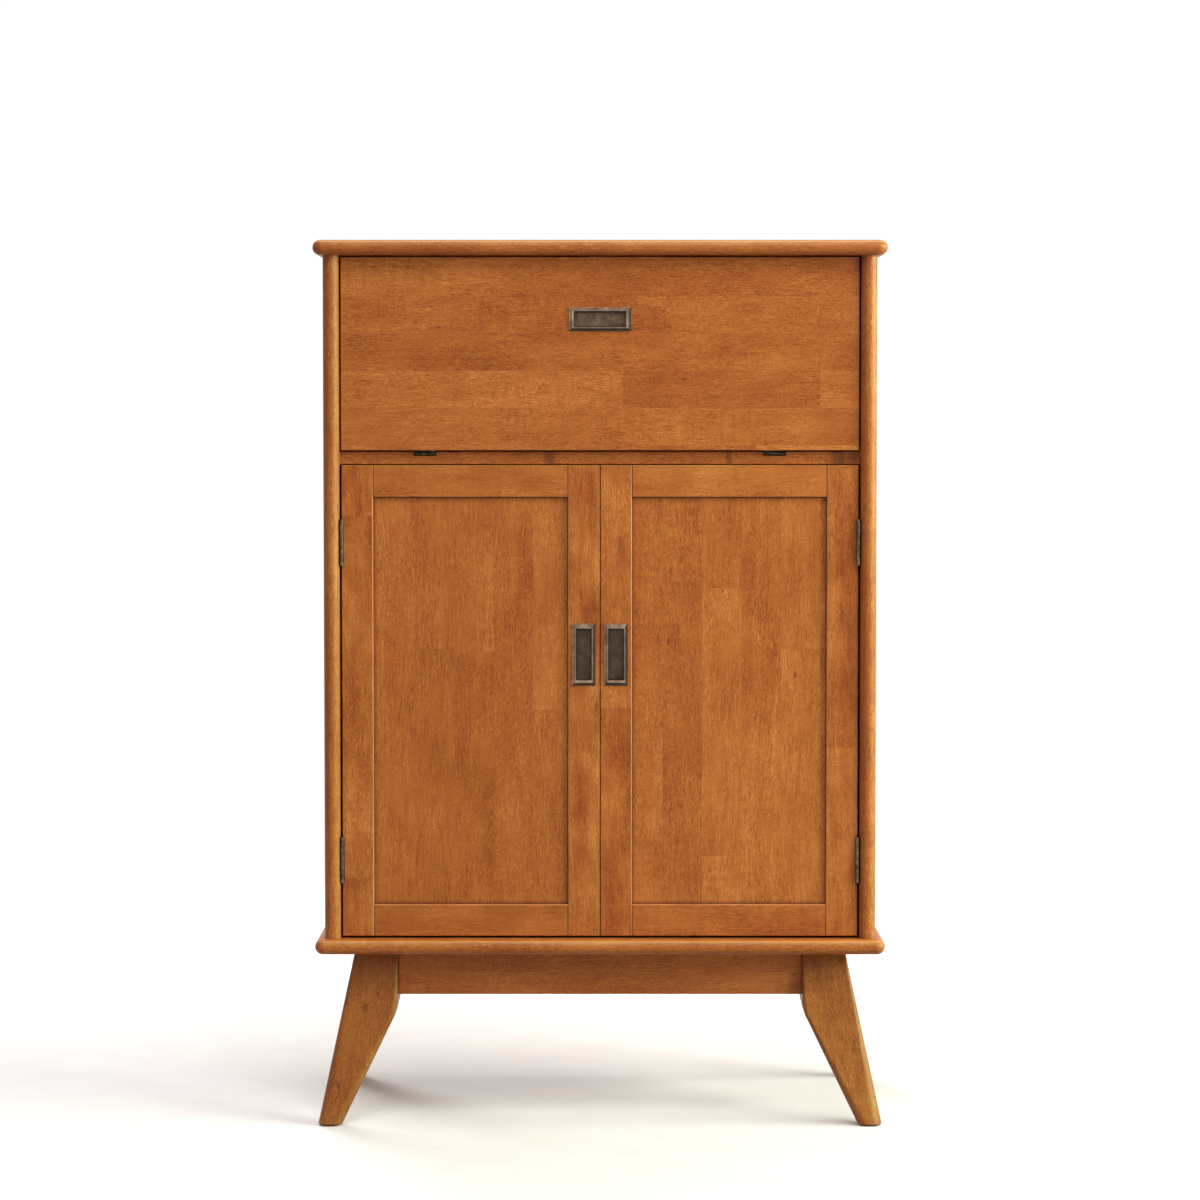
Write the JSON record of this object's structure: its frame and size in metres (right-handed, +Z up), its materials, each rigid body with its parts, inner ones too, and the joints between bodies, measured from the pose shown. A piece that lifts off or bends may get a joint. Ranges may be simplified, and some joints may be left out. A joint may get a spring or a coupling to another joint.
{
  "type": "bar cabinet with fold out shelf",
  "caption": "Upright wooden bar cabinet with a drop-down flap that forms a serving shelf above a pair of panelled doors, on splayed tapered legs.",
  "frame": {"origin": "centre of the cabinet's footprint, on the floor", "axes": "+X to the right seen from the front, +Y to the back, +Z up"},
  "size_m": [0.762, 0.4, 1.183],
  "materials": {
    "case_wood": "satin lacquered honey stained finger-jointed hardwood",
    "door_wood": "satin lacquered honey stained finger-jointed hardwood",
    "flap_wood": "satin lacquered honey stained finger-jointed hardwood",
    "base_wood": "satin lacquered honey stained solid hardwood",
    "back_board": "stained plywood",
    "dowel_wood": "plain beech",
    "antique_bronze": "antique bronze",
    "hinge_bronze": "antique bronze",
    "plated_steel": "zinc plated",
    "screw_steel": "zinc plated",
    "catch_plastic": "moulded",
    "glide_plastic": "moulded"
  },
  "bodies": {
    "carcass": {"adjustable_shelf": "case_wood", "back_panel": "back_board", "back_panel_screws": "screw_steel", "base_cleat_screws": "screw_steel", "base_cleats": "dowel_wood", "bottom_slab": "case_wood", "carcass_dowels": "dowel_wood", "catch_housings": "catch_plastic", "catch_poles": "plated_steel", "door_hinge_pins": "hinge_bronze", "fixed_shelf": "case_wood", "flap_hinge_pins": "hinge_bronze", "flap_shelf_leaves": "hinge_bronze", "foot_glides": "glide_plastic", "front_apron": "base_wood", "front_left_leg": "base_wood", "front_right_leg": "base_wood", "hardware_screws": "screw_steel", "left_apron": "base_wood", "left_door_frame_leaves": "hinge_bronze", "left_side_panel": "case_wood", "leg_dowels": "dowel_wood", "rear_apron": "base_wood", "rear_left_leg": "base_wood", "rear_right_leg": "base_wood", "right_apron": "base_wood", "right_door_frame_leaves": "hinge_bronze", "right_side_panel": "case_wood", "shelf_pins": "plated_steel", "stay_wall_plates": "plated_steel", "top_slab": "case_wood"},
    "left_door": {"left_door_bottom_rail": "door_wood", "left_door_hinge_leaves": "hinge_bronze", "left_door_hinge_stile": "door_wood", "left_door_meeting_stile": "door_wood", "left_door_panel": "door_wood", "left_door_pull": "antique_bronze", "left_door_screws": "screw_steel", "left_door_strike": "plated_steel", "left_door_top_rail": "door_wood"},
    "right_door": {"right_door_bottom_rail": "door_wood", "right_door_hinge_leaves": "hinge_bronze", "right_door_hinge_stile": "door_wood", "right_door_meeting_stile": "door_wood", "right_door_panel": "door_wood", "right_door_pull": "antique_bronze", "right_door_screws": "screw_steel", "right_door_strike": "plated_steel", "right_door_top_rail": "door_wood"},
    "flap": {"flap_hinge_leaves": "hinge_bronze", "flap_panel": "flap_wood", "flap_pull": "antique_bronze", "flap_screws": "screw_steel", "flap_strike": "plated_steel", "stay_brackets": "plated_steel", "stay_rivets": "plated_steel"},
    "left_stay": {"left_stay_arm": "plated_steel"},
    "right_stay": {"right_stay_arm": "plated_steel"}
  },
  "joints": [
    {"name": "left_door_swing", "type": "hinge", "parent": "carcass", "child": "left_door", "pos_m": [-0.34435, -0.1799, 0.5685], "axis": [0, 0, -1], "range_deg": [0, 150]},
    {"name": "right_door_swing", "type": "hinge", "parent": "carcass", "child": "right_door", "pos_m": [0.34435, -0.1799, 0.5685], "axis": [0, 0, 1], "range_deg": [0, 150]},
    {"name": "flap_drop", "type": "hinge", "parent": "carcass", "child": "flap", "pos_m": [0, -0.166, 0.9008], "axis": [1, 0, 0], "range_deg": [0, 90]},
    {"name": "left_stay_swing", "type": "hinge", "parent": "flap", "child": "left_stay", "pos_m": [-0.3426, -0.145, 1.0408], "axis": [1, 0, 0], "range_deg": [-45, 0]},
    {"name": "right_stay_swing", "type": "hinge", "parent": "flap", "child": "right_stay", "pos_m": [0.3426, -0.145, 1.0408], "axis": [1, 0, 0], "range_deg": [-45, 0]}
  ],
  "couplings": [
    {"joint": "left_stay_swing", "follows": "flap_drop", "ratio": -0.5},
    {"joint": "right_stay_swing", "follows": "flap_drop", "ratio": -0.5}
  ]
}
